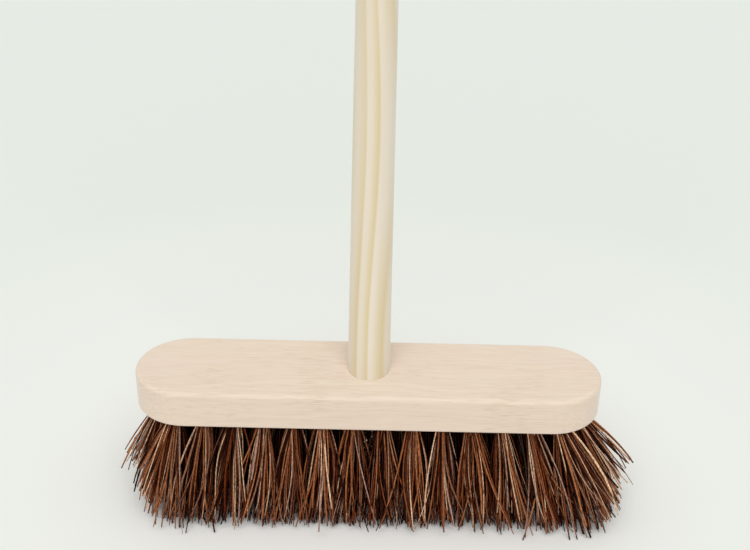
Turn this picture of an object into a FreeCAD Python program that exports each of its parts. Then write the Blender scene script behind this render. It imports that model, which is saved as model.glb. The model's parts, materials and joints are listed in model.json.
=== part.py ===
import FreeCAD, Part
import math
import os
import Sketcher

# A stiff sweeping broom: a round-ended wooden stock with 56 fibre tufts stapled into bored holes,
# and a turned handle pushed into a slanted socket and held by one screw from the rear.
#
# Millimetres. The origin is on the floor, under the middle of the stock, in the plane of the
# bristle tips. +X runs along the stock, +Y to the rear, where the handle leans, and +Z is up.

DRIVING_SIZES = [
    # alias, value, what it is
    ("stock_length", 305, "stock, end to end"),
    ("stock_width", 70, "stock, front to rear"),
    ("stock_thickness", 25, "stock, underside to top face"),
    ("top_rounding", 3, "radius along the stock's top edge"),
    ("under_rounding", 1.5, "radius along the stock's lower edge"),
    ("trim_height", 70, "bristles, from the stock's underside to the floor"),
    ("handle_radius", 13.75, "handle above its tapered foot"),
    ("handle_length", 1220, "handle, foot to crown"),
    ("handle_crown", 10, "height of the domed end"),
    ("handle_lean", 22, "degrees from upright, to the rear"),
    ("socket_depth", 18, "socket, along the handle's axis from the top face"),
    ("foot_radius", 13, "handle at the bottom of the tapered socket"),
    ("foot_taper_top", 8, "where the foot's taper ends, above the top face along the axis"),
    ("tuft_pitch", 19.2, "between tufts in one row"),
    ("outer_row", 26, "front and back rows, from the middle line"),
    ("inner_row", 9, "middle rows, from the middle line"),
    ("outer_lean", 13, "degrees that the front and back rows splay outwards"),
    ("inner_lean", 4, "degrees that the middle rows splay outwards"),
    ("end_lean", 22, "degrees that the last tufts splay towards the ends"),
    ("hole_radius", 4, "tuft hole"),
    ("hole_depth", 12, "tuft hole, along its own axis"),
    ("collar", 2, "straight neck of a tuft below its hole"),
    ("flare", 4.1, "degrees that a tuft widens on each side below its neck"),
    ("flare_length", 92, "tuft below its neck, before it is trimmed level"),
    ("wire_radius", 0.7, "staple wire"),
    ("staple_width", 5, "staple, between the centre lines of its legs"),
    ("staple_bend", 1.2, "centre-line radius of the staple's corners"),
    ("staple_leg", 8, "staple, from its bridge to the ends of its legs"),
    ("bridge_height", 9, "staple bridge, above the mouth of the hole"),
    ("screw_length", 38, "screw, head face to point"),
    ("screw_radius", 2.1, "screw shank"),
    ("screw_point", 5, "tapered end of the screw"),
    ("screw_head_radius", 4.1, "countersunk head"),
    ("screw_drop", 7, "screw axis, below the stock's top face"),
    ("recess_length", 4.4, "cross recess, tip to tip"),
    ("recess_width", 0.9, "cross recess, across one slot"),
    ("recess_depth", 1.9, "cross recess"),
]

# Places along a row, in half pitches from the middle. The outer rows straddle the middle; the
# inner rows would have a tuft there, but its hole would break into the handle's socket.
OUTER_STEPS = range(-13, 14, 2)
INNER_STEPS = [step for step in range(-14, 15, 2) if step != 0]
LAST_STEP = 14

TUFT_ROWS = [
    # name, places along the row, which pair of rows, side of the middle line
    ("tuft_front", OUTER_STEPS, "outer", -1),
    ("tuft_mid_front", INNER_STEPS, "inner", -1),
    ("tuft_mid_back", INNER_STEPS, "inner", 1),
    ("tuft_back", OUTER_STEPS, "outer", 1),
]

UNDERSIDE = "sizes.trim_height"
TOP_FACE = "(sizes.trim_height + sizes.stock_thickness)"
END_CENTRE = "(sizes.stock_length / 2 - sizes.stock_width / 2)"
HANDLE_PLACE = f"placement(vector(0; 0; {TOP_FACE}); rotation(vector(1; 0; 0); -sizes.handle_lean))"

# Constraint arguments name a point of a line or arc by number.
START, END, CENTRE = 1, 2, 3
ORIGIN = (-1, 1)
VERTICAL_AXIS = -2

doc = FreeCAD.newDocument("broom")
sub_parts = []


def make_sheet():
    sheet = doc.addObject("Spreadsheet::Sheet", "sizes")
    for row, (alias, value, meaning) in enumerate(DRIVING_SIZES, start=1):
        sheet.set(f"A{row}", alias)
        sheet.set(f"B{row}", str(value))
        sheet.setAlias(f"B{row}", alias)
        sheet.set(f"C{row}", meaning)
    doc.recompute()
    return sheet


def add(kind, name, **expressions):
    """A document object with its sizes bound to the sheet."""
    thing = doc.addObject(kind, name)
    bind(thing, expressions)
    return thing


def bind(thing, expressions):
    for name, expression in expressions.items():
        thing.setExpression(name, expression)


def boolean(kind, name, base, tool):
    result = doc.addObject(f"Part::{kind}", name)
    result.Base = base
    result.Tool = tool
    return result


def compound(name, members):
    result = doc.addObject("Part::Compound", name)
    result.Links = members
    return result


def copy_of(form, name, place, on_top_of_its_own=False):
    """A linked copy of a form, at a place given as an expression, which stands in for the form's
    own placement or is applied on top of it."""
    copy = doc.addObject("App::Link", name)
    copy.LinkedObject = form
    copy.LinkTransform = on_top_of_its_own
    copy.setExpression("Placement", place)
    return copy


def as_sub_part(thing, label):
    thing.Label = label
    sub_parts.append(thing)


def sketch_on(body, role, name):
    plane = next(datum for datum in body.Origin.OriginFeatures if datum.Role == role)
    sketch = body.newObject("Sketcher::SketchObject", name)
    sketch.AttachmentSupport = [(plane, "")]
    sketch.MapMode = "FlatFace"
    return sketch


def hold(sketch, kind, *arguments, size=None):
    """Add a constraint. size is the expression that drives it, where it is a dimension."""
    if size:
        value = float(sketch.evalExpression(size))
        index = sketch.addConstraint(Sketcher.Constraint(kind, *arguments, value))
        sketch.setExpression(f"Constraints[{index}]", size)
    else:
        sketch.addConstraint(Sketcher.Constraint(kind, *arguments))


def polyline(sketch, points):
    """Closed run of lines through points, joined end to end."""
    corners = [FreeCAD.Vector(x, y, 0) for x, y in points]
    count = len(corners)
    for index in range(count):
        sketch.addGeometry(Part.LineSegment(corners[index], corners[(index + 1) % count]))
    for index in range(count):
        hold(sketch, "Coincident", index, END, (index + 1) % count, START)


def arc(centre, radius, first_degrees, last_degrees):
    circle = Part.Circle(FreeCAD.Vector(*centre, 0), FreeCAD.Vector(0, 0, 1), radius)
    return Part.ArcOfCircle(circle, math.radians(first_degrees), math.radians(last_degrees))


def turned(body, profile, name):
    """Turn a profile all the way round its sketch's vertical axis."""
    feature = body.newObject("PartDesign::Revolution", name)
    feature.Profile = profile
    feature.ReferenceAxis = (profile, ["V_Axis"])
    feature.Angle = 360
    return feature


def edges_at(feature, level):
    """Names of the edges of a feature that lie wholly at one height."""
    names = []
    for number, edge in enumerate(feature.Shape.Edges, start=1):
        box = edge.BoundBox
        if abs(box.ZMin - level) < 0.01 and abs(box.ZMax - level) < 0.01:
            names.append(f"Edge{number}")
    return names


sizes = make_sheet()


def make_stock_blank():
    """The stadium-shaped block, sawn and rounded over, before it is bored."""
    body = doc.addObject("PartDesign::Body", "stock_blank")
    outline = sketch_on(body, "XY_Plane", "stock_outline")
    outline.setExpression("AttachmentOffset.Base.z", UNDERSIDE)
    half_width = sizes.stock_width / 2
    half_straight = sizes.stock_length / 2 - half_width
    right_front = FreeCAD.Vector(half_straight, -half_width, 0)
    left_front = FreeCAD.Vector(-half_straight, -half_width, 0)
    right_back = FreeCAD.Vector(half_straight, half_width, 0)
    left_back = FreeCAD.Vector(-half_straight, half_width, 0)
    front, right_end, back, left_end = range(4)
    outline.addGeometry(Part.LineSegment(left_front, right_front))
    outline.addGeometry(arc((half_straight, 0), half_width, -90, 90))
    outline.addGeometry(Part.LineSegment(right_back, left_back))
    outline.addGeometry(arc((-half_straight, 0), half_width, 90, 270))
    for first, second in ((front, right_end), (right_end, back), (back, left_end), (left_end, front)):
        hold(outline, "Tangent", first, END, second, START)
    hold(outline, "Horizontal", front)
    hold(outline, "Symmetric", right_end, CENTRE, left_end, CENTRE, *ORIGIN)
    hold(outline, "Radius", right_end, size="sizes.stock_width / 2")
    hold(outline, "DistanceX", left_end, CENTRE, right_end, CENTRE,
         size="sizes.stock_length - sizes.stock_width")

    block = body.newObject("PartDesign::Pad", "stock_block")
    block.Profile = outline
    block.setExpression("Length", "sizes.stock_thickness")
    doc.recompute()

    under_level = sizes.trim_height
    top_level = sizes.trim_height + sizes.stock_thickness
    for name, level, radius in (("top_round", top_level, "sizes.top_rounding"),
                                ("under_round", under_level, "sizes.under_rounding")):
        rounded = body.newObject("PartDesign::Fillet", name)
        rounded.Base = (block, edges_at(block, level))
        rounded.setExpression("Radius", radius)
        doc.recompute()
        block = rounded
    return body


def make_handle_blank():
    """The turned pole. Its own origin is where its axis meets the stock's top face."""
    body = add("PartDesign::Body", "handle_blank", Placement=HANDLE_PLACE)
    profile = sketch_on(body, "XZ_Plane", "handle_profile")
    radius, crown = sizes.handle_radius, sizes.handle_crown
    foot = -sizes.socket_depth
    tip = foot + sizes.handle_length
    crown_radius = (radius ** 2 + crown ** 2) / (2 * crown)
    shoulder_angle = math.degrees(math.acos(radius / crown_radius))
    outline = [(0, foot), (sizes.foot_radius, foot), (radius, sizes.foot_taper_top),
               (radius, tip - crown)]
    corners = [FreeCAD.Vector(x, y, 0) for x, y in outline]
    end_grain, taper, side, dome, axis = range(5)
    profile.addGeometry(Part.LineSegment(corners[0], corners[1]))
    profile.addGeometry(Part.LineSegment(corners[1], corners[2]))
    profile.addGeometry(Part.LineSegment(corners[2], corners[3]))
    profile.addGeometry(arc((0, tip - crown_radius), crown_radius, shoulder_angle, 90))
    profile.addGeometry(Part.LineSegment(FreeCAD.Vector(0, tip, 0), corners[0]))
    for first, second in ((end_grain, taper), (taper, side), (side, dome), (dome, axis),
                          (axis, end_grain)):
        hold(profile, "Coincident", first, END, second, START)
    hold(profile, "Horizontal", end_grain)
    hold(profile, "Vertical", side)
    hold(profile, "PointOnObject", end_grain, START, VERTICAL_AXIS)
    hold(profile, "PointOnObject", dome, END, VERTICAL_AXIS)
    hold(profile, "PointOnObject", dome, CENTRE, VERTICAL_AXIS)
    hold(profile, "DistanceY", end_grain, START, *ORIGIN, size="sizes.socket_depth")
    hold(profile, "DistanceX", *ORIGIN, end_grain, END, size="sizes.foot_radius")
    hold(profile, "DistanceX", *ORIGIN, side, START, size="sizes.handle_radius")
    hold(profile, "DistanceY", *ORIGIN, side, START, size="sizes.foot_taper_top")
    hold(profile, "DistanceY", dome, START, dome, END, size="sizes.handle_crown")
    hold(profile, "DistanceY", end_grain, START, dome, END, size="sizes.handle_length")
    turned(body, profile, "handle_turning")
    return body


def make_screw():
    """Countersunk wood screw, its head flush with the stock's rear face, its point to the front."""
    place = f"placement(vector(0; sizes.stock_width / 2; {TOP_FACE} - sizes.screw_drop); " \
            "rotation(vector(1; 0; 0); -90))"
    body = add("PartDesign::Body", "screw_body", Placement=place)
    profile = sketch_on(body, "XZ_Plane", "screw_profile")
    head, shank = sizes.screw_head_radius, sizes.screw_radius
    length, point = sizes.screw_length, sizes.screw_point
    face, cone, side, taper = range(4)
    polyline(profile, [(0, 0), (head, 0), (shank, shank - head), (shank, point - length),
                       (0, -length)])
    hold(profile, "Coincident", face, START, *ORIGIN)
    hold(profile, "Horizontal", face)
    hold(profile, "Vertical", side)
    hold(profile, "PointOnObject", taper, END, VERTICAL_AXIS)
    hold(profile, "DistanceX", *ORIGIN, cone, START, size="sizes.screw_head_radius")
    hold(profile, "DistanceX", *ORIGIN, side, START, size="sizes.screw_radius")
    hold(profile, "DistanceY", cone, END, cone, START,
         size="sizes.screw_head_radius - sizes.screw_radius")
    hold(profile, "DistanceY", taper, END, side, END, size="sizes.screw_point")
    hold(profile, "DistanceY", taper, END, *ORIGIN, size="sizes.screw_length")
    turned(body, profile, "screw_turning")
    doc.recompute()

    slot = sketch_on(body, "XY_Plane", "recess_slot")
    half_length, half_width = sizes.recess_length / 2, sizes.recess_width / 2
    polyline(slot, [(-half_length, -half_width), (half_length, -half_width),
                    (half_length, half_width), (-half_length, half_width)])
    hold(slot, "Horizontal", 0)
    hold(slot, "Vertical", 1)
    hold(slot, "Horizontal", 2)
    hold(slot, "Symmetric", 0, START, 2, START, *ORIGIN)
    hold(slot, "DistanceX", 0, START, 0, END, size="sizes.recess_length")
    hold(slot, "DistanceY", 1, START, 1, END, size="sizes.recess_width")
    cut = body.newObject("PartDesign::Pocket", "recess_cut")
    cut.Profile = slot
    cut.setExpression("Length", "sizes.recess_depth")
    doc.recompute()
    cross = body.newObject("PartDesign::PolarPattern", "recess_cross")
    cross.Originals = [cut]
    cross.Axis = (slot, ["N_Axis"])
    cross.Angle = 90
    cross.Occurrences = 2
    body.Tip = cross
    return body


def make_tuft_form():
    """One tuft in its own frame: root in the hole, straight neck, then flaring bristles."""
    body = doc.addObject("PartDesign::Body", "tuft_form")
    profile = sketch_on(body, "XZ_Plane", "tuft_profile")
    root, depth, collar = sizes.hole_radius, sizes.hole_depth, sizes.collar
    end = -collar - sizes.flare_length
    wide = root + sizes.flare_length * math.tan(math.radians(sizes.flare))
    polyline(profile, [(0, depth), (0, end), (wide, end), (root, -collar), (root, depth)])
    axis_line, cut_end, spread, neck, top = range(5)
    hold(profile, "Vertical", axis_line)
    hold(profile, "Horizontal", cut_end)
    hold(profile, "Vertical", neck)
    hold(profile, "Horizontal", top)
    hold(profile, "PointOnObject", axis_line, START, VERTICAL_AXIS)
    hold(profile, "DistanceX", *ORIGIN, neck, START, size="sizes.hole_radius")
    hold(profile, "DistanceY", *ORIGIN, axis_line, START, size="sizes.hole_depth")
    hold(profile, "DistanceY", neck, START, *ORIGIN, size="sizes.collar")
    hold(profile, "DistanceY", axis_line, END, neck, START, size="sizes.flare_length")
    hold(profile, "DistanceX", neck, START, cut_end, END,
         size="sizes.flare_length * tan(sizes.flare)")
    turned(body, profile, "tuft_turning")
    return body


def make_staple_form():
    """One U of drawn wire in the frame of its tuft, its legs pointing up into the wood."""
    body = doc.addObject("PartDesign::Body", "staple_form")
    route = sketch_on(body, "XZ_Plane", "staple_route")
    half, bend = sizes.staple_width / 2, sizes.staple_bend
    low = sizes.bridge_height
    high = low + sizes.staple_leg
    left_leg, left_bend, bridge, right_bend, right_leg = range(5)
    route.addGeometry(Part.LineSegment(FreeCAD.Vector(-half, high, 0),
                                       FreeCAD.Vector(-half, low + bend, 0)))
    route.addGeometry(arc((-half + bend, low + bend), bend, 180, 270))
    route.addGeometry(Part.LineSegment(FreeCAD.Vector(-half + bend, low, 0),
                                       FreeCAD.Vector(half - bend, low, 0)))
    route.addGeometry(arc((half - bend, low + bend), bend, 270, 360))
    route.addGeometry(Part.LineSegment(FreeCAD.Vector(half, low + bend, 0),
                                       FreeCAD.Vector(half, high, 0)))
    for first, second in ((left_leg, left_bend), (left_bend, bridge), (bridge, right_bend),
                          (right_bend, right_leg)):
        hold(route, "Tangent", first, END, second, START)
    hold(route, "Vertical", left_leg)
    hold(route, "Vertical", right_leg)
    hold(route, "Horizontal", bridge)
    hold(route, "Symmetric", left_leg, START, right_leg, END, VERTICAL_AXIS)
    hold(route, "Equal", left_bend, right_bend)
    hold(route, "Radius", left_bend, size="sizes.staple_bend")
    hold(route, "DistanceX", left_leg, START, right_leg, END, size="sizes.staple_width")
    hold(route, "DistanceY", *ORIGIN, bridge, START, size="sizes.bridge_height")
    hold(route, "DistanceY", bridge, START, left_leg, START, size="sizes.staple_leg")

    section = sketch_on(body, "XY_Plane", "wire_section")
    section.setExpression("AttachmentOffset.Base.z", "sizes.bridge_height + sizes.staple_leg")
    section.addGeometry(Part.Circle(FreeCAD.Vector(-half, 0, 0), FreeCAD.Vector(0, 0, 1),
                                    sizes.wire_radius))
    hold(section, "DistanceX", 0, CENTRE, *ORIGIN, size="sizes.staple_width / 2")
    hold(section, "DistanceY", *ORIGIN, 0, CENTRE, size="0")
    hold(section, "Radius", 0, size="sizes.wire_radius")
    wire = body.newObject("PartDesign::AdditivePipe", "staple_wire")
    wire.Profile = section
    wire.Spine = (route, [f"Edge{number}" for number in range(1, 6)])
    return body


def tuft_places():
    """Every tuft's name, and its frame as an expression: the origin at the mouth of its hole, +Z
    up the hole. Tufts splay to the ends, more so the nearer they are to an end."""
    places = {}
    for row_name, steps, row, side in TUFT_ROWS:
        for number, step in enumerate(steps, start=1):
            along = f"({step} * sizes.tuft_pitch / 2)"
            across = f"sizes.{row}_row"
            if row == "outer":
                past_centre = f"max(0; abs({along}) - {END_CENTRE})"
                across = f"sqrt(sizes.outer_row ^ 2 - {past_centre} ^ 2)"
            slope_x = f"tan(sizes.end_lean * {step * abs(step)} / {LAST_STEP ** 2})"
            slope_y = f"tan({side} * sizes.{row}_lean)"
            mouth = f"vector({along}; {side} * {across}; {UNDERSIDE})"
            lean = f"rotation(vector({slope_y}; -{slope_x}; 0); atan(hypot({slope_x}; {slope_y})))"
            places[f"{row_name}_{number:02d}"] = f"placement({mouth}; {lean})"
    return places


def make_broom():
    stock = make_stock_blank()
    handle = make_handle_blank()
    screw = make_screw()
    tuft_form = make_tuft_form()
    staple_form = make_staple_form()
    drill_form = add("Part::Cylinder", "drill_form", Radius="sizes.hole_radius",
                     Height="sizes.hole_depth + sizes.collar",
                     Placement="placement(vector(0; 0; -sizes.collar); rotation(vector(0; 0; 1); 0))")
    above_floor = add("Part::Box", "above_floor", Length="2 * sizes.stock_length",
                      Width="4 * sizes.stock_width", Height="2 * sizes.trim_height",
                      Placement="placement(vector(-sizes.stock_length; -2 * sizes.stock_width; 0); "
                                "rotation(vector(0; 0; 1); 0))")
    doc.recompute()

    drills, staples = [], []
    for name, place in tuft_places().items():
        drills.append(copy_of(drill_form, f"{name}_drill", place, on_top_of_its_own=True))
        staple = copy_of(staple_form, f"{name}_staple", place)
        staples.append(staple)
        bundle = copy_of(tuft_form, f"{name}_bundle", place)
        trimmed = boolean("Common", f"{name}_trimmed", bundle, above_floor)
        as_sub_part(boolean("Cut", f"{name}_stapled", trimmed, staple), name)

    all_drills = compound("all_drills", drills)
    all_staples = compound("all_staples", staples)
    as_sub_part(all_staples, "staples")

    socket = add("Part::Cone", "socket_reamer", Radius1="sizes.foot_radius",
                 Radius2="sizes.handle_radius", Height="sizes.socket_depth + sizes.foot_taper_top",
                 Placement=f"{HANDLE_PLACE} * placement(vector(0; 0; -sizes.socket_depth); "
                           "rotation(vector(0; 0; 1); 0))")
    bored = boolean("Cut", "stock_bored", stock, all_drills)
    socketed = boolean("Cut", "stock_socketed", bored, socket)
    stapled = boolean("Cut", "stock_stapled", socketed, all_staples)
    as_sub_part(boolean("Cut", "stock_screwed", stapled, screw), "stock")
    as_sub_part(boolean("Cut", "handle_screwed", handle, screw), "handle")
    as_sub_part(screw, "handle_screw")
    doc.recompute()


def check_document():
    for thing in doc.Objects:
        if "Invalid" in thing.State or "Error" in thing.State:
            raise RuntimeError(f"{thing.Name} failed: {thing.State}")
    for thing in sub_parts:
        shape = thing.Shape
        if shape.isNull() or not shape.isValid() or shape.Volume <= 0:
            raise RuntimeError(f"{thing.Label} has no valid solid")


def write_parts():
    os.makedirs("parts", exist_ok=True)
    for thing in sub_parts:
        thing.Shape.exportStep(f"parts/{thing.Label}.step")
        print(f"{thing.Label}: {len(thing.Shape.Solids)} solid(s), {thing.Shape.Volume:.0f} mm3")


make_broom()
check_document()
write_parts()
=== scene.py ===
import json
import math
from typing import NamedTuple

import bpy
import numpy as np
from bpy.props import FloatProperty, FloatVectorProperty, IntProperty, PointerProperty
from bpy.types import Operator, Panel, PropertyGroup
from mathutils import Euler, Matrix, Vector


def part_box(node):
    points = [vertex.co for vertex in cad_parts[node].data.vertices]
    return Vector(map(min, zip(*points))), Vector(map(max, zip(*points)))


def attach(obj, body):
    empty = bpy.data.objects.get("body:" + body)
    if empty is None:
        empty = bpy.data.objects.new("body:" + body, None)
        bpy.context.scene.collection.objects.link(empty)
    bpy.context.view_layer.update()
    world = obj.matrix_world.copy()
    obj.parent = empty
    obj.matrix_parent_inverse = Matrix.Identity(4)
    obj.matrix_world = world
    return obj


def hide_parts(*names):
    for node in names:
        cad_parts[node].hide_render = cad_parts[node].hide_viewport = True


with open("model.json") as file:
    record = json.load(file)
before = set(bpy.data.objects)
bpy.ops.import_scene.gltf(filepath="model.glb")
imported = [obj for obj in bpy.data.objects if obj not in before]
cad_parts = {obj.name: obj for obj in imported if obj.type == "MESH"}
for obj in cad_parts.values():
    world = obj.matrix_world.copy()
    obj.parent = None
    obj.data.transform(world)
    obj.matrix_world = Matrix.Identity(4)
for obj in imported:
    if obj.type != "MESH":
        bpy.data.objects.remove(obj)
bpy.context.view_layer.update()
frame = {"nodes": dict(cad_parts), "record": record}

bl_info = {
    "name": "Bassine Sweeping Broom",
    "version": (1, 0, 0),
    "blender": (4, 5, 0),
    "location": "View3D > Sidebar > Broom",
    "description": "Dresses the broom's frame with wood, wire and fibre, and sets its stage",
    "category": "Object",
}

BODY = "root"
MM = 0.001

# Places that come from the frame. The tips of the bristles stand on the plane z = 0.
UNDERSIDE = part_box("stock")[0][2]
HALF_LENGTH, HALF_DEPTH, TOP_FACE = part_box("stock")[1]
GRIP = next(m for m in frame["record"]["mounts"] if m["name"] == "handle_grip")
HANDLE_LEAN = math.acos(Vector(GRIP["axis"]).normalized().z)
HANDLE_RADIUS = GRIP["dims"]["r_mm"] * MM
TUFT_NODES = sorted(name for name in frame["nodes"] if name.startswith("tuft_"))


def linear(hex_colour):
    """A colour written as sRGB hex, in the linear values that shaders take."""
    channels = [int(hex_colour[i:i + 2], 16) / 255 for i in (0, 2, 4)]
    return tuple(c / 12.92 if c <= 0.04045 else ((c + 0.055) / 1.055) ** 2.4 for c in channels)


# ---------------------------------------------------------------------------------------------
# What a user would change
# ---------------------------------------------------------------------------------------------

def tint(name, hex_colour, what):
    return FloatVectorProperty(name=name, description=what, subtype="COLOR", size=3,
                               min=0.0, max=1.0, default=linear(hex_colour))


def length(name, metres, what):
    return FloatProperty(name=name, description=what, unit="LENGTH", min=0.0, default=metres)


class WoodSettings(PropertyGroup):
    beech_pale: tint("Beech", "F0DCCE", "Sanded face of the stock between its pores")
    beech_cream: tint("Beech cream", "F0DDCB", "Yellower patches of the stock")
    beech_ring: tint("Beech ring", "E6CFBD", "Darker growth rings of the stock")
    beech_pore: tint("Beech pore", "D2B59C", "Short dark pores and flecks of the stock")
    pine_pale: tint("Pine early wood", "E7D8C4", "Pale wood between the rings of the handle")
    pine_grey: tint("Pine sapwood", "E8DCD0", "Greyer patches of the handle")
    pine_ring: tint("Pine late wood", "DCC8A2", "Tan growth rings of the handle")
    sway_start: length("Sway start", 15 * MM, "From the foot to where the rings start to swing")
    sway_length: length("Sway length", 270 * MM, "Along the handle from one swing to the next")


class BristleSettings(PropertyGroup):
    fibres: IntProperty(name="Fibres", description="Fibre ends in one tuft", min=8, default=68)
    thinnest: length("Thinnest", 0.36 * MM, "Radius of the thinnest fibre")
    thickest: length("Thickest", 0.72 * MM, "Radius of the thickest fibre")
    root_spread: length("Root spread", 3.2 * MM, "Radius of a tuft where it leaves the stock")
    tip_spread: length("Tip spread", 12.6 * MM, "Radius of a tuft at the floor")
    crowding: FloatProperty(name="Crowding", subtype="FACTOR", default=0.6,
                            description="How far an outer tuft spreads front to back, beside "
                                        "the inner ones")
    unevenness: length("Unevenness", 3.8 * MM, "How far most tips end above the floor")
    trimmed_end: length("Trimmed end", 173 * MM, "From the middle to where both ends are trimmed")
    corner_cut: length("Corner cut", 12 * MM, "How much further in each end is cut at the floor")
    corner_height: length("Corner height", 28 * MM, "Height of the corner that is cut away")
    strays: FloatProperty(name="Strays", description="Share of fibres that stray from their tuft",
                          subtype="FACTOR", min=0.0, max=1.0, default=0.24)
    lean: FloatProperty(name="Lean", subtype="FACTOR", default=0.9,
                        description="Share of the tufts' outward lean midway along the stock")
    uneven_lean: FloatProperty(name="Uneven lean", subtype="FACTOR", default=0.35,
                               description="How much more of it they have at the right end, and "
                                           "how much less at the left")
    # Painted shade: how bright the inner rows are painted, beside the outer ones.
    inner_shaded_brightness: FloatProperty(name="Inner brightness", subtype="FACTOR", min=0.0, max=1.0,
                                    default=0.25,
                                    description="How bright the inner rows are beside the outer")
    seed: IntProperty(name="Seed", description="Which random set of fibres", default=11)
    shadow_brown: tint("Shadow brown", "260C04", "Darkest fibres")
    russet: tint("Russet", "6C2F12", "Reddish fibres")
    chestnut: tint("Chestnut", "B07049", "Mid-brown fibres")
    tan: tint("Tan", "F2C8A4", "Bleached fibres")
    mauve: tint("Mauve", "B08C7C", "Weathered grey fibres")


class StageSettings(PropertyGroup):
    floor_far: tint("Floor", "E9ECE8", "Pale floor")
    # Painted light: the floor is paler and warmer round the broom, lifting the broom's shadow.
    floor_painted_light: tint("Floor near", "F5F2F1", "Pale floor round the broom")
    air: tint("Air", "E6EBE5", "Light from all round")
    air_strength: FloatProperty(name="Air strength", description="Light from all round", min=0.0,
                                default=0.76)
    sun_strength: FloatProperty(name="Sun strength", description="Wide soft light above the front",
                                min=0.0, default=1.36)
    sun_width: FloatProperty(name="Sun width", description="Angle that the soft light fills",
                             subtype="ANGLE", default=math.radians(60))
    lens: FloatProperty(name="Lens", description="Focal length", unit="CAMERA", min=1.0,
                        default=54.66)


# ---------------------------------------------------------------------------------------------
# Shader building
# ---------------------------------------------------------------------------------------------

# Where a colour Mix node takes its two colours, and where it gives the result.
COLOUR_A, COLOUR_B, MIXED = 6, 7, 2


def add_node(tree, kind, inputs=None, stops=(), **settings):
    """Add a shader node. inputs maps an input's name or number to a value or to the socket that
    feeds it, and stops are a colour ramp's (position, linear colour) pairs."""
    node = tree.nodes.new("ShaderNode" + kind)
    for name, value in settings.items():
        setattr(node, name, value)
    for key, value in (inputs or {}).items():
        if isinstance(value, bpy.types.NodeSocket):
            tree.links.new(value, node.inputs[key])
        else:
            node.inputs[key].default_value = value
    for number, (position, colour) in enumerate(stops):
        elements = node.color_ramp.elements
        element = elements[number] if number < len(elements) else elements.new(position)
        element.position = position
        element.color = (*colour, 1.0)
    return node


def new_material(name):
    material = bpy.data.materials.new(name)
    material.use_nodes = True
    tree = material.node_tree
    tree.nodes.clear()
    surface = add_node(tree, "BsdfPrincipled")
    add_node(tree, "OutputMaterial", {"Surface": surface.outputs[0]})
    return material, tree, surface


def grey(level):
    return (level, level, level)


def streaks(long, wide, way):
    """The noise scale for streaks this long and wide that lie along the x or the z axis."""
    scale = [1 / wide] * 3
    scale["xyz".index(way)] = 1 / long
    return scale


def sand(surface):
    """Bare sanded wood: a weak, dull gloss, and fine fuzz that lightens it at a glancing angle."""
    surface.inputs["IOR"].default_value = 1.5
    surface.inputs["Specular IOR Level"].default_value = 0.3
    surface.inputs["Sheen Weight"].default_value = 0.5
    surface.inputs["Sheen Roughness"].default_value = 0.35


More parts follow.
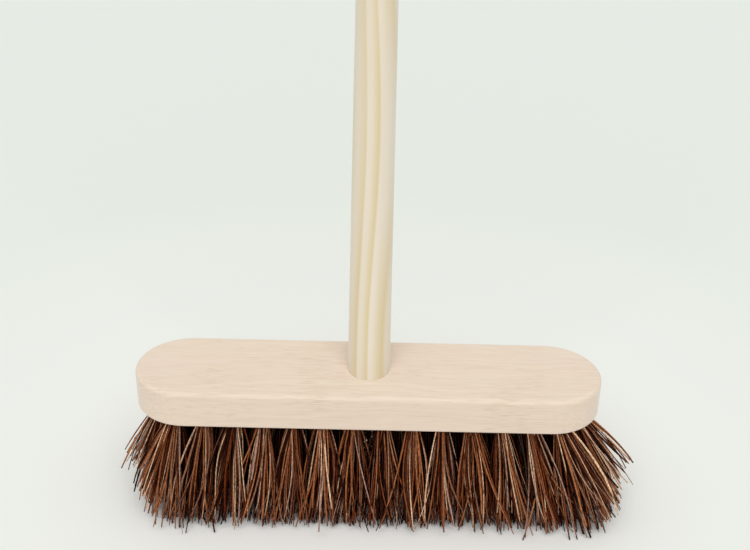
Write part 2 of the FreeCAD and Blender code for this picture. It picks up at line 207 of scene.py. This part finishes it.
def sanded_beech(wood):
    """European beech, planed and sanded, unvarnished: creamy pink and dull, with faint straight
    rings along the stock, yellower patches, and many short darker pores along the grain."""
    material, tree, surface = new_material("sanded_beech")
    place = add_node(tree, "TexCoord").outputs["Object"]

    # Growth rings, 3 mm apart on the front face and 6 mm on the top, lie slantwise through the
    # stock and wander by several millimetres over 140 mm of its length.
    ring_gap, slant, wandering_by = 3.333 * MM, 0.6, 35 * MM
    along = add_node(tree, "Mapping", {"Vector": place,
                                       "Scale": streaks(142.9 * MM, 33.33 * MM, "x")})
    wander = add_node(tree, "TexNoise", {"Vector": along.outputs[0], "Scale": 1.0, "Detail": 2.0})
    split = add_node(tree, "SeparateXYZ", {0: place})
    across = add_node(tree, "Math", {0: split.outputs["Y"], 1: slant}, operation="MULTIPLY")
    from_pith = add_node(tree, "Math", {0: across.outputs[0], 1: split.outputs["Z"]},
                         operation="ADD")
    wandering = add_node(tree, "Math", {0: wander.outputs[0], 1: wandering_by,
                                        2: from_pith.outputs[0]}, operation="MULTIPLY_ADD")
    ring_vector = add_node(tree, "CombineXYZ", {0: wandering.outputs[0]})
    rings = add_node(tree, "TexNoise", {"Vector": ring_vector.outputs[0], "Scale": 1 / ring_gap,
                                        "Detail": 3.0, "Roughness": 0.6})

    # Fibre 0.7 mm wide and 30 mm long; the real one is finer, and would not show.
    fine = add_node(tree, "Mapping", {"Vector": place,
                                      "Scale": streaks(30.3 * MM, 0.7143 * MM, "x")})
    fibre = add_node(tree, "TexNoise", {"Vector": fine.outputs[0], "Scale": 1.0, "Detail": 2.0})

    # Pores 0.8 mm wide and 12 mm long, thick in some patches and missing in others.
    short = add_node(tree, "Mapping", {"Vector": place,
                                       "Scale": streaks(11.76 * MM, 0.8333 * MM, "x")})
    pore = add_node(tree, "TexNoise", {"Vector": short.outputs[0], "Scale": 1.0, "Detail": 1.0})
    patch = add_node(tree, "TexNoise", {"Vector": place, "Scale": 1 / (50 * MM), "Detail": 1.0})
    pore_sum = add_node(tree, "Math", {0: patch.outputs[0], 1: 0.6, 2: pore.outputs[0]},
                        operation="MULTIPLY_ADD")
    pore_dark = add_node(tree, "MapRange", {"Value": pore_sum.outputs[0], "From Min": 0.84,
                                            "From Max": 1.08, "To Min": 0.0, "To Max": 0.45})

    # Yellower patches, about 125 mm long and 40 mm wide.
    broad = add_node(tree, "Mapping", {"Vector": place, "Location": (0.0, 0.3, 0.0),
                                       "Scale": streaks(125 * MM, 41.67 * MM, "x")})
    cream = add_node(tree, "TexNoise", {"Vector": broad.outputs[0], "Scale": 1.0, "Detail": 1.0})
    cream_share = add_node(tree, "MapRange", {"Value": cream.outputs[0], "From Min": 0.4,
                                              "From Max": 0.62})
    face = add_node(tree, "Mix", {"Factor": cream_share.outputs[0],
                                  COLOUR_A: (*wood.beech_pale, 1.0),
                                  COLOUR_B: (*wood.beech_cream, 1.0)}, data_type="RGBA")
    ringed = add_node(tree, "Math", {0: rings.outputs[0], 1: 0.9, 2: -0.45},
                      operation="MULTIPLY_ADD")
    streaked = add_node(tree, "Math", {0: fibre.outputs[0], 1: 0.9, 2: ringed.outputs[0]},
                        operation="MULTIPLY_ADD")
    ring_share = add_node(tree, "MapRange", {"Value": streaked.outputs[0], "From Min": 0.2,
                                             "From Max": 0.75})
    ringed_face = add_node(tree, "Mix", {"Factor": ring_share.outputs[0],
                                         COLOUR_A: face.outputs[MIXED],
                                         COLOUR_B: (*wood.beech_ring, 1.0)}, data_type="RGBA")
    colour = add_node(tree, "Mix", {"Factor": pore_dark.outputs[0],
                                    COLOUR_A: ringed_face.outputs[MIXED],
                                    COLOUR_B: (*wood.beech_pore, 1.0)}, data_type="RGBA")
    tree.links.new(colour.outputs[MIXED], surface.inputs["Base Color"])

    rough = add_node(tree, "MapRange", {"Value": fibre.outputs[0], "To Min": 0.52, "To Max": 0.68})
    tree.links.new(rough.outputs[0], surface.inputs["Roughness"])
    relief = add_node(tree, "Math", {0: fibre.outputs[0], 1: pore_dark.outputs[0]},
                      operation="SUBTRACT")
    bump = add_node(tree, "Bump", {"Height": relief.outputs[0], "Strength": 0.2,
                                   "Distance": 0.1 * MM})
    tree.links.new(bump.outputs[0], surface.inputs["Normal"])
    sand(surface)
    return material


def turned_pine(wood):
    """Pine, turned and sanded, unvarnished: cream early wood crossed by long tan rings, each soft
    on one side and sharp on the other, because the pole is cut along the tree."""
    material, tree, surface = new_material("turned_pine")
    place = add_node(tree, "TexCoord").outputs["Object"]
    # In the pole's own axes z runs up its middle, from near the top face of the stock.
    origin = (0.0, TOP_FACE * math.sin(HANDLE_LEAN), -TOP_FACE * math.cos(HANDLE_LEAN))
    upright = add_node(tree, "Mapping", {"Vector": place, "Location": origin,
                                         "Rotation": (HANDLE_LEAN, 0.0, 0.0)})
    across, through, up = add_node(tree, "SeparateXYZ", {0: upright.outputs[0]}).outputs

    # Near the foot the rings swing out to the right and back in a wave; higher up they drift.
    swing_out, wave_top, drift_bottom = 0.4, 240 * MM, 420 * MM
    turns = add_node(tree, "Math", {0: up, 1: 2 * math.pi / wood.sway_length,
                                    2: -2 * math.pi * wood.sway_start / wood.sway_length},
                     operation="MULTIPLY_ADD")
    wave = add_node(tree, "Math", {0: turns.outputs[0]}, operation="COSINE")
    wave_swing = add_node(tree, "Math", {0: wave.outputs[0], 1: -swing_out, 2: swing_out},
                          operation="MULTIPLY_ADD")
    slow = add_node(tree, "Mapping", {"Vector": upright.outputs[0],
                                      "Scale": streaks(166.7 * MM, 71.43 * MM, "z")})
    noise = add_node(tree, "TexNoise", {"Vector": slow.outputs[0], "Scale": 1.0, "Detail": 1.0})
    drift = add_node(tree, "MapRange", {"Value": noise.outputs[0], "From Min": 0.35,
                                        "From Max": 0.65, "To Min": -0.2, "To Max": 0.9})
    high = add_node(tree, "MapRange", {"Value": up, "From Min": wave_top,
                                       "From Max": drift_bottom})
    swing = add_node(tree, "Mix", {"Factor": high.outputs[0], "A": wave_swing.outputs[0],
                                   "B": drift.outputs[0]})

    # The rings lie slantwise through the pole, and where they swing they also spread apart.
    # These and the next shares are of the handle's radius.
    slantwise, off_centre, swing_shift, swing_spread = 0.2, 0.18, 0.514, 0.426
    slant = add_node(tree, "Math", {0: through, 1: slantwise, 2: across},
                     operation="MULTIPLY_ADD")
    place_on_pole = add_node(tree, "Math", {0: slant.outputs[0], 1: 1 / HANDLE_RADIUS,
                                            2: off_centre}, operation="MULTIPLY_ADD")
    swung = add_node(tree, "Math", {0: swing.outputs[0], 1: -swing_shift,
                                    2: place_on_pole.outputs[0]}, operation="MULTIPLY_ADD")
    apart = add_node(tree, "Math", {0: swing.outputs[0], 1: swing_spread, 2: 1.0},
                     operation="MULTIPLY_ADD")
    ring_place = add_node(tree, "Math", {0: swung.outputs[0], 1: apart.outputs[0]},
                          operation="DIVIDE")

    # The middle ring ends just left of the middle, and the gaps get wider to its right.
    middle_ring, rings_per_radius, widening, ring_end = 0.08, 1.794, 0.71, 4.9
    from_ring = add_node(tree, "Math", {0: ring_place.outputs[0], 1: middle_ring},
                         operation="ADD")
    closer = add_node(tree, "Math", {0: from_ring.outputs[0], 1: -widening, 2: rings_per_radius},
                      operation="MULTIPLY_ADD")
    phase = add_node(tree, "Math", {0: from_ring.outputs[0], 1: closer.outputs[0], 2: ring_end},
                     operation="MULTIPLY_ADD")
    part = add_node(tree, "Math", {0: phase.outputs[0]}, operation="FRACT")
    ring = add_node(tree, "ValToRGB", {0: part.outputs[0]},
                    stops=[(0.0, grey(0.0)), (0.25, grey(0.1)), (0.5, grey(0.55)),
                           (0.8, grey(1.0)), (0.95, grey(0.0))])

    # Some rings are strong and some faint, for 250 mm at a time.
    bold = add_node(tree, "Mapping", {"Vector": upright.outputs[0],
                                      "Scale": streaks(250 * MM, 16.67 * MM, "z")})
    fade = add_node(tree, "TexNoise", {"Vector": bold.outputs[0], "Scale": 1.0, "Detail": 0.0})
    strength = add_node(tree, "MapRange", {"Value": fade.outputs[0], "From Min": 0.3,
                                           "From Max": 0.5, "To Min": 0.7, "To Max": 1.0})
    bright = add_node(tree, "Math", {0: ring.outputs[0], 1: strength.outputs[0]},
                      operation="MULTIPLY")

    # Where they swing, the outermost ring on the right has run out of the surface.
    right = add_node(tree, "MapRange", {"Value": place_on_pole.outputs[0], "From Min": 0.35,
                                        "From Max": 0.6})
    gone = add_node(tree, "Math", {0: swing.outputs[0], 1: right.outputs[0]},
                    operation="MULTIPLY", use_clamp=True)
    left_over = add_node(tree, "Math", {0: gone.outputs[0], 1: -1.2, 2: 1.0},
                         operation="MULTIPLY_ADD", use_clamp=True)
    band = add_node(tree, "Math", {0: bright.outputs[0], 1: left_over.outputs[0]},
                    operation="MULTIPLY")

    # Fibre 0.6 mm wide and 30 mm long; the real one is finer, and would not show.
    fine = add_node(tree, "Mapping", {"Vector": upright.outputs[0],
                                      "Scale": streaks(30.3 * MM, 0.625 * MM, "z")})
    fibre = add_node(tree, "TexNoise", {"Vector": fine.outputs[0], "Scale": 1.0, "Detail": 2.0})
    tone = add_node(tree, "Math", {0: fibre.outputs[0], 1: 0.3, 2: -0.1}, operation="MULTIPLY_ADD")
    ring_share = add_node(tree, "Math", {0: band.outputs[0], 1: tone.outputs[0]}, operation="ADD",
                          use_clamp=True)
    patch = add_node(tree, "TexNoise", {"Vector": bold.outputs[0], "Scale": 0.7, "Detail": 0.0})
    patched = add_node(tree, "Math", {0: patch.outputs[0], 1: gone.outputs[0]},
                       operation="MAXIMUM")
    face = add_node(tree, "Mix", {"Factor": patched.outputs[0],
                                  COLOUR_A: (*wood.pine_pale, 1.0),
                                  COLOUR_B: (*wood.pine_grey, 1.0)}, data_type="RGBA")
    colour = add_node(tree, "Mix", {"Factor": ring_share.outputs[0],
                                    COLOUR_A: face.outputs[MIXED],
                                    COLOUR_B: (*wood.pine_ring, 1.0)}, data_type="RGBA")
    tree.links.new(colour.outputs[MIXED], surface.inputs["Base Color"])

    rough = add_node(tree, "MapRange", {"Value": fibre.outputs[0], "To Min": 0.46, "To Max": 0.62})
    tree.links.new(rough.outputs[0], surface.inputs["Roughness"])
    bump = add_node(tree, "Bump", {"Height": fibre.outputs[0], "Strength": 0.15,
                                   "Distance": 0.1 * MM})
    tree.links.new(bump.outputs[0], surface.inputs["Normal"])
    sand(surface)
    return material


def bassine_fibre(bristle, name, brightness):
    """Bassine, the stiff fibre of a palm's leaf base, dyed and dried: each strand has its own
    brown, is streaked along its length, darkens at its cut end and has a dull, faint gloss.
    Painted shade darkens the inner rows by the stock, and darkens and reddens the brown deep
    between the fibres."""
    material, tree, surface = new_material(name)
    each = add_node(tree, "NewGeometry").outputs["Random Per Island"]
    browns = add_node(tree, "ValToRGB", {0: each},
                      stops=[(0.0, bristle.shadow_brown), (0.2, bristle.shadow_brown),
                             (0.34, bristle.russet), (0.52, bristle.chestnut),
                             (0.64, bristle.russet), (0.82, bristle.tan), (0.91, bristle.mauve),
                             (1.0, bristle.russet)])

    # Streaks, 0.5 mm wide and 12 mm long; the real ones are finer, and would not show.
    place = add_node(tree, "TexCoord").outputs["Object"]
    long_way = add_node(tree, "Mapping", {"Vector": place,
                                          "Scale": streaks(11.76 * MM, 0.5 * MM, "z")})
    streak = add_node(tree, "TexNoise", {"Vector": long_way.outputs[0], "Scale": 1.0,
                                         "Detail": 2.0})
    light = add_node(tree, "MapRange", {"Value": streak.outputs[0], "From Min": 0.3,
                                        "From Max": 0.7, "To Min": 0.42, "To Max": 1.55})
    streaked = add_node(tree, "Mix", {"Factor": 1.0, COLOUR_A: browns.outputs[0],
                                      COLOUR_B: light.outputs[0]},
                        data_type="RGBA", blend_type="MULTIPLY")
    height = add_node(tree, "SeparateXYZ", {0: place}).outputs["Z"]
    cut_end = add_node(tree, "MapRange", {"Value": height, "From Min": 1 * MM,
                                          "From Max": 6 * MM, "To Min": 0.7, "To Max": 1.0})
    # Painted shade: the inner rows are darkest by the stock, and lighter towards the floor.
    painted_shade_by_stock = add_node(tree, "MapRange", {"Value": height, "From Min": 12 * MM,
                                           "From Max": 45 * MM, "To Min": 0.5 + 0.5 * brightness,
                                           "To Max": brightness})
    cut_end_and_painted_shade = add_node(tree, "Math", {0: cut_end.outputs[0], 1: painted_shade_by_stock.outputs[0]},
                    operation="MULTIPLY")
    streaked_and_shaded = add_node(tree, "Mix", {"Factor": 1.0, COLOUR_A: streaked.outputs[MIXED],
                                  COLOUR_B: cut_end_and_painted_shade.outputs[0]},
                    data_type="RGBA", blend_type="MULTIPLY")
    # Painted shade: where a fibre's neighbours are within 15 mm, the brown is painted darker
    # and redder, as deep between the fibres.
    painted_shade_mask = add_node(tree, "AmbientOcclusion", {"Distance": 15 * MM}, samples=8)
    depth = add_node(tree, "ValToRGB", {0: painted_shade_mask.outputs["AO"]},
                     stops=[(0.06, linear("4E1A0A")), (0.27, linear("B88668")),
                            (0.55, grey(1.0))])
    # The painted shade darkens the fibre's own colour.
    colour = add_node(tree, "Mix", {"Factor": 1.0, COLOUR_A: streaked_and_shaded.outputs[MIXED],
                                    COLOUR_B: depth.outputs[0]},
                      data_type="RGBA", blend_type="MULTIPLY")
    tree.links.new(colour.outputs[MIXED], surface.inputs["Base Color"])
    rough = add_node(tree, "MapRange", {"Value": streak.outputs[0], "To Min": 0.36, "To Max": 0.6})
    tree.links.new(rough.outputs[0], surface.inputs["Roughness"])
    surface.inputs["IOR"].default_value = 1.53
    surface.inputs["Specular IOR Level"].default_value = 0.06
    return material


def zinc_plated_steel():
    """Bright zinc on a pressed steel screw: cool grey, satin, cloudy in patches of 1 mm."""
    material, tree, surface = new_material("zinc_plated_steel")
    place = add_node(tree, "TexCoord").outputs["Object"]
    cloud = add_node(tree, "TexNoise", {"Vector": place, "Scale": 1 / (1.111 * MM),
                                        "Detail": 3.0})
    colour = add_node(tree, "ValToRGB", {0: cloud.outputs[0]},
                      stops=[(0.3, linear("B9B7AE")), (0.7, linear("D3D2CC"))])
    tree.links.new(colour.outputs[0], surface.inputs["Base Color"])
    rough = add_node(tree, "MapRange", {"Value": cloud.outputs[0], "To Min": 0.28, "To Max": 0.42})
    tree.links.new(rough.outputs[0], surface.inputs["Roughness"])
    surface.inputs["Metallic"].default_value = 1.0
    return material


def drawn_wire():
    """Drawn carbon steel wire: grey, with lines 0.1 mm wide from the die along its legs."""
    material, tree, surface = new_material("drawn_wire")
    place = add_node(tree, "TexCoord").outputs["Object"]
    lines = add_node(tree, "Mapping", {"Vector": place,
                                       "Scale": streaks(1.667 * MM, 0.111 * MM, "z")})
    drawn = add_node(tree, "TexNoise", {"Vector": lines.outputs[0], "Scale": 1.0, "Detail": 1.0})
    colour = add_node(tree, "ValToRGB", {0: drawn.outputs[0]},
                      stops=[(0.3, linear("8E9093")), (0.7, linear("B4B6B8"))])
    tree.links.new(colour.outputs[0], surface.inputs["Base Color"])
    rough = add_node(tree, "MapRange", {"Value": drawn.outputs[0], "To Min": 0.3, "To Max": 0.45})
    tree.links.new(rough.outputs[0], surface.inputs["Roughness"])
    surface.inputs["Metallic"].default_value = 1.0
    return material


def dress(node_name, material):
    for slot in frame["nodes"][node_name].material_slots:
        slot.material = material


# ---------------------------------------------------------------------------------------------
# Bristles
# ---------------------------------------------------------------------------------------------

RINGS = 9                       # cross sections along one fibre
SIDES = 5                       # corners of one cross section
KNOTS = 0.12                    # how much a fibre's thickness varies along it
KNOT_TURN = (4, 9)              # radians of that swing from one end to the other
FLATNESS = (0.6, 0.95)          # thickness of a fibre's section, as a share of its width
OFF_FLOOR = 0.05 * MM           # how far the lowest fibres stay above the floor

ROOT_INSIDE = 5 * MM            # how far the modelled fibres start inside their hole
TIP_SPREAD = (0.75, 1.2)        # of a fibre, as a share of its tuft's
TIP_TURN = 0.4                  # radians by which a tip strays round its tuft
WANDER = 4.4 * MM               # of most tips
STRAY_WANDER = 10 * MM          # of the tips of strays
FURTHEST_ASIDE = 34 * MM        # of a tip from its tuft's middle line
SHORT_SHARE = 0.12              # of fibres that end well above the floor
SHORT_BY = (5 * MM, 16 * MM)    # how far above it these end
LIFT_SHAPE = (1.3, 2.2)         # beta distribution of how far the rest end above it
BOW = 3 * MM                    # of a fibre halfway down
RIPPLE = 0.45 * MM              # of a fibre at its tip
RIPPLE_WAVES = 1.3              # along a whole fibre

TRIM_SHIFT = 10 * MM            # how far to the right the trimming is off centre
TRIM_UNEVENNESS = (0.93, 1.04)  # of a trimmed fibre's length

END_FROM = 0.75 * HALF_LENGTH       # tufts further out than this fan out at the broom's ends
# Painted shade: inner tufts nearer the middle than this are painted darker.
SHADED_TO = 0.8 * HALF_LENGTH         # inner tufts nearer than this are dark
HANDLE_TO = 20 * MM                 # inner tufts nearer than this spread under the socket


def middle(points):
    return (points.min(axis=0) + points.max(axis=0)) / 2


def tuft_line(node_name):
    """The mouth and the floor end of a tuft's middle line, from its solid."""
    points = np.array([v.co for v in frame["nodes"][node_name].data.vertices])
    in_hole = middle(points[points[:, 2] > UNDERSIDE + 1 * MM])
    at_floor = middle(points[points[:, 2] < 1 * MM])
    share = (UNDERSIDE - at_floor[2]) / (in_hole[2] - at_floor[2])
    return at_floor + share * (in_hole - at_floor), at_floor


class TuftKind(NamedTuple):
    """How one kind of tuft differs from a plain one."""
    fullness: float = 1.0   # share of the usual number of fibres
    fan: float = 1.0        # share of the usual spread along the broom
    wander: float = 1.0     # share of the usual wandering and bow
    depth: float = 1.0      # share of the usual spread from front to back
    delay: float = 1.5      # power of the way down that the spread grows with


END = TuftKind(fullness=1.5, fan=2.0, wander=0.86, delay=1.1)
BACK_END = TuftKind(fullness=1.5, fan=0.9, wander=0.5, delay=1.1)
UNDER_HANDLE = TuftKind(fullness=1.3, fan=1.6, delay=1.1)
INSIDE = TuftKind(fullness=1.15, fan=1.2)


def tuft_kind(mouth, inner, crowding):
    """The tufts at both ends fan out furthest, and the inner rows fill what lies between."""
    from_middle = abs(mouth[0])
    if from_middle > END_FROM:
        return BACK_END if mouth[1] > 0 else END
    if inner:
        return UNDER_HANDLE if from_middle < HANDLE_TO else INSIDE
    return TuftKind(depth=crowding)


def fibre_paths(bristle, mouth, floor_end, kind, rng):
    """Middle lines of one tuft's fibres, as an array of fibre, ring and xyz, and their radii."""
    count = round(bristle.fibres * kind.fullness)
    down = (floor_end - mouth) / np.linalg.norm(floor_end - mouth)
    side = np.cross(down, (0.0, 1.0, 0.0))
    side /= np.linalg.norm(side)
    front = np.cross(side, down)

    turn = rng.uniform(0, 2 * math.pi, count)
    share = np.sqrt(rng.uniform(0, 1, count))
    root_x = share * np.cos(turn) * bristle.root_spread
    root_y = share * np.sin(turn) * bristle.root_spread
    spread = bristle.tip_spread * share * rng.uniform(*TIP_SPREAD, count)
    tip_turn = turn + rng.normal(0, TIP_TURN, count)
    stray = rng.uniform(0, 1, count) < bristle.strays
    wander = np.where(stray, STRAY_WANDER, WANDER) * kind.wander
    tip_x = spread * kind.fan * np.cos(tip_turn) + rng.normal(0, 1, count) * wander
    tip_x = np.clip(tip_x, -FURTHEST_ASIDE, FURTHEST_ASIDE)
    tip_y = (spread * np.sin(tip_turn) + rng.normal(0, 1, count) * wander) * kind.depth

    # The tips stand at uneven heights, a few of them well short of the floor.
    short = rng.uniform(0, 1, count) < SHORT_SHARE
    lift = np.where(short, rng.uniform(*SHORT_BY, count),
                    rng.beta(*LIFT_SHAPE, count) * bristle.unevenness)
    bow = rng.normal(0, BOW, (count, 2)) * kind.wander
    wave = rng.normal(0, RIPPLE, (count, 2))
    phase = rng.uniform(0, 2 * math.pi, count)

    # Each fibre stops at its own height, or where the ends of the broom are trimmed.
    outward = math.copysign(1.0, mouth[0])
    from_middle = outward * (mouth[0] + root_x - TRIM_SHIFT)
    going_out = outward * (floor_end[0] - mouth[0] + tip_x - root_x)
    slope = bristle.corner_cut / bristle.corner_height
    # The trimmed ends are as round as the stock's.
    limit = bristle.trimmed_end - HALF_DEPTH + math.sqrt(HALF_DEPTH ** 2 - mouth[1] ** 2)
    at_side = (limit - from_middle) / np.maximum(going_out, 1 * MM)
    at_corner = ((limit - bristle.corner_cut + slope * mouth[2] - from_middle)
                 / (going_out + slope * mouth[2]))
    trimmed = np.minimum(at_side, at_corner) * rng.uniform(*TRIM_UNEVENNESS, count)
    whole = np.minimum(1 - lift / mouth[2], trimmed)

    run = np.linalg.norm(floor_end - mouth)
    start = mouth - down * ROOT_INSIDE
    line = np.empty((count, RINGS, 3))
    for i in range(count):
        t = np.linspace(0, whole[i], RINGS)
        opening = t ** kind.delay
        x = root_x[i] + (tip_x[i] - root_x[i]) * opening
        y = root_y[i] + (tip_y[i] - root_y[i]) * opening
        curve = np.sin(math.pi * t)
        ripple = np.sin(2 * math.pi * RIPPLE_WAVES * t + phase[i]) * t
        x = x + bow[i, 0] * curve + wave[i, 0] * ripple
        y = y + bow[i, 1] * curve + wave[i, 1] * ripple
        ahead = t * (run + ROOT_INSIDE)
        line[i] = start + np.outer(ahead, down) + np.outer(x, side) + np.outer(y, front)
    radius = rng.uniform(bristle.thinnest, bristle.thickest, count)
    return line, radius


def fibre_mesh(name, line, radius, rng):
    """Tapered tubes of slightly flattened section round each middle line, closed at both ends."""
    count = len(line)
    heading = np.gradient(line, axis=1)
    heading /= np.linalg.norm(heading, axis=2, keepdims=True)
    flat_turn = rng.uniform(0, math.pi, count)
    reference = np.stack([np.cos(flat_turn), np.sin(flat_turn), np.zeros(count)], axis=1)
    wide = np.cross(heading, reference[:, None, :])
    wide /= np.linalg.norm(wide, axis=2, keepdims=True)
    thin = np.cross(heading, wide)
    t = np.linspace(0, 1, RINGS)
    along = np.outer(rng.uniform(*KNOT_TURN, count), t) + rng.uniform(0, 6, (count, 1))
    knots = 1 + KNOTS * np.sin(along)
    taper = np.interp(t, [0, 0.85, 1], [1, 0.95, 0.75])
    size = radius[:, None] * knots * taper
    flatness = rng.uniform(*FLATNESS, count)

    corner = np.arange(SIDES) * 2 * math.pi / SIDES
    ring = (wide[:, :, None, :] * np.cos(corner)[None, None, :, None]
            + thin[:, :, None, :] * np.sin(corner)[None, None, :, None]
            * flatness[:, None, None, None])
    points = line[:, :, None, :] + ring * size[:, :, None, None]
    points[..., 2] = np.maximum(points[..., 2], OFF_FLOOR)
    faces = []
    for fibre in range(count):
        first = fibre * RINGS * SIDES
        for level in range(RINGS - 1):
            low = first + level * SIDES
            for k in range(SIDES):
                after = (k + 1) % SIDES
                faces.append((low + k, low + after, low + SIDES + after, low + SIDES + k))
        last = first + (RINGS - 1) * SIDES
        faces.append(tuple(first + k for k in reversed(range(SIDES))))
        faces.append(tuple(last + k for k in range(SIDES)))
    mesh = bpy.data.meshes.new(name)
    mesh.from_pydata(points.reshape(-1, 3).tolist(), [], faces)
    mesh.polygons.foreach_set("use_smooth", [True] * len(mesh.polygons))
    mesh.update()
    return mesh


# ---------------------------------------------------------------------------------------------
# Operators
# ---------------------------------------------------------------------------------------------

class BROOM_OT_stage(Operator):
    """Lay the pale floor, hang the soft lights and set the camera"""
    bl_idname = "broom.stage"
    bl_label = "Stage"

    def execute(self, context):
        stage = context.scene.broom_stage
        lay_floor(stage)
        hang_lights(context, stage)
        set_camera(context, stage)
        return {"FINISHED"}


def lay_floor(stage):
    """A painted floor, faintly mottled, with no gloss; round the broom it is paler and warmer, a
    painted light that lifts the broom's shadow.
    """
    half, mottle_size, near, far = 60.0, 0.3333, 0.1, 0.5
    mesh = bpy.data.meshes.new("floor")
    corners = [(-half, -half, 0), (half, -half, 0), (half, half, 0), (-half, half, 0)]
    mesh.from_pydata(corners, [], [(0, 1, 2, 3)])
    floor = bpy.data.objects.new("floor", mesh)
    bpy.context.collection.objects.link(floor)
    material, tree, surface = new_material("painted_floor")
    place = add_node(tree, "TexCoord").outputs["Object"]
    mottle = add_node(tree, "TexNoise", {"Vector": place, "Scale": 1 / mottle_size,
                                         "Detail": 1.0})
    rough = add_node(tree, "MapRange", {"Value": mottle.outputs[0], "To Min": 0.8, "To Max": 0.9})
    tree.links.new(rough.outputs[0], surface.inputs["Roughness"])
    # Painted light: from 0.1 m to 0.5 m out the floor goes from the paler, warmer colour round the
    # broom to the plain one.
    away = add_node(tree, "VectorMath", {0: place}, operation="LENGTH").outputs["Value"]
    share = add_node(tree, "MapRange", {"Value": away, "From Min": near, "From Max": far})
    paint = add_node(tree, "Mix", {"Factor": share.outputs[0],
                                   COLOUR_A: (*stage.floor_painted_light, 1.0),
                                   COLOUR_B: (*stage.floor_far, 1.0)}, data_type="RGBA")
    tree.links.new(paint.outputs[MIXED], surface.inputs["Base Color"])
    mesh.materials.append(material)


def hang_lights(context, stage):
    """Even light from all round, and one wide soft light from above the front."""
    shining = Vector((0.03, 0.56, -1.0))
    world = bpy.data.worlds.new("air")
    world.use_nodes = True
    back = world.node_tree.nodes["Background"]
    back.inputs["Color"].default_value = (*stage.air, 1.0)
    back.inputs["Strength"].default_value = stage.air_strength
    context.scene.world = world
    context.scene.view_settings.view_transform = "Standard"

    sun = bpy.data.lights.new("soft_sun", "SUN")
    sun.energy = stage.sun_strength
    sun.angle = stage.sun_width
    lamp = bpy.data.objects.new("soft_sun", sun)
    lamp.rotation_euler = shining.to_track_quat("-Z", "Y").to_euler()
    context.collection.objects.link(lamp)


def set_camera(context, stage):
    """Look down at the front of the broom, a little off level, as a hand-held camera is."""
    pitch, pan, roll = math.radians(28.18), math.radians(-0.19), math.radians(1.38)
    middle_of_top = Vector((0.0005, 0.0, TOP_FACE))
    stand_off = Vector((0.0, -0.6289, 0.4063))
    lens = bpy.data.cameras.new("camera")
    lens.lens = stage.lens
    lens.sensor_width = 36.0
    camera = bpy.data.objects.new("camera", lens)
    camera.location = middle_of_top + stand_off
    turn = Euler((math.pi / 2 - pitch, 0.0, pan), "XYZ").to_matrix()
    camera.rotation_euler = (turn @ Euler((0.0, 0.0, roll), "XYZ").to_matrix()).to_euler()
    context.collection.objects.link(camera)
    context.scene.camera = camera


class BROOM_OT_wood(Operator):
    """Finish the stock in sanded beech and the handle in turned pine"""
    bl_idname = "broom.wood"
    bl_label = "Wood"

    def execute(self, context):
        wood = context.scene.broom_wood
        dress("stock", sanded_beech(wood))
        dress("handle", turned_pine(wood))
        return {"FINISHED"}


class BROOM_OT_metal(Operator):
    """Finish the screw in zinc plate and the staples in drawn wire"""
    bl_idname = "broom.metal"
    bl_label = "Screw and staples"

    def execute(self, context):
        dress("handle_screw", zinc_plated_steel())
        dress("staples", drawn_wire())
        return {"FINISHED"}


class BROOM_OT_bristles(Operator):
    """Fill every hole of the stock with a tuft of separate fibres"""
    bl_idname = "broom.bristles"
    bl_label = "Bristles"

    def execute(self, context):
        if not TUFT_NODES:
            raise RuntimeError("The frame has no tufts to fill with fibres")
        bristle = context.scene.broom_bristles
        outer_fibre = bassine_fibre(bristle, "bassine_fibre", 1.0)
        # The inner rows take a copy of the fibre with painted shade.
        shaded_inner_fibre = bassine_fibre(bristle, "painted_shade_bassine_fibre", bristle.inner_shaded_brightness)
        for number, node_name in enumerate(TUFT_NODES):
            rng = np.random.RandomState(bristle.seed * 1000 + number)
            mouth, floor_end = tuft_line(node_name)
            lean = bristle.lean + bristle.uneven_lean * mouth[0] / HALF_LENGTH
            floor_end[0] = mouth[0] + (floor_end[0] - mouth[0]) * lean
            inner = "mid" in node_name and abs(mouth[0]) < SHADED_TO
            kind = tuft_kind(mouth, inner, bristle.crowding)
            line, radius = fibre_paths(bristle, mouth, floor_end, kind, rng)
            name = node_name.replace("tuft_", "bristles_")
            mesh = fibre_mesh(name, line, radius, rng)
            mesh.materials.append(shaded_inner_fibre if inner else outer_fibre)
            tuft = bpy.data.objects.new(name, mesh)
            context.collection.objects.link(tuft)
            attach(tuft, BODY)
            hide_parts(node_name)
        return {"FINISHED"}


class BROOM_PT_sidebar(Panel):
    """Sizes, colours and steps of the broom"""
    bl_idname = "BROOM_PT_sidebar"
    bl_label = "Sweeping Broom"
    bl_space_type = "VIEW_3D"
    bl_region_type = "UI"
    bl_category = "Broom"

    def draw(self, context):
        scene = context.scene
        for operator, settings in (("broom.stage", scene.broom_stage),
                                   ("broom.wood", scene.broom_wood),
                                   ("broom.metal", None),
                                   ("broom.bristles", scene.broom_bristles)):
            box = self.layout.box()
            box.operator(operator)
            if settings is not None:
                for name in settings.__annotations__:
                    box.prop(settings, name)


CLASSES = (WoodSettings, BristleSettings, StageSettings, BROOM_OT_stage, BROOM_OT_wood,
           BROOM_OT_metal, BROOM_OT_bristles, BROOM_PT_sidebar)


def register():
    for cls in CLASSES:
        bpy.utils.register_class(cls)
    bpy.types.Scene.broom_wood = PointerProperty(type=WoodSettings)
    bpy.types.Scene.broom_bristles = PointerProperty(type=BristleSettings)
    bpy.types.Scene.broom_stage = PointerProperty(type=StageSettings)


def unregister():
    del bpy.types.Scene.broom_stage
    del bpy.types.Scene.broom_bristles
    del bpy.types.Scene.broom_wood
    for cls in reversed(CLASSES):
        bpy.utils.unregister_class(cls)


def main():
    register()
    bpy.ops.broom.stage()
    bpy.ops.broom.wood()
    bpy.ops.broom.metal()
    bpy.ops.broom.bristles()


if __name__ == "__main__":
    main()
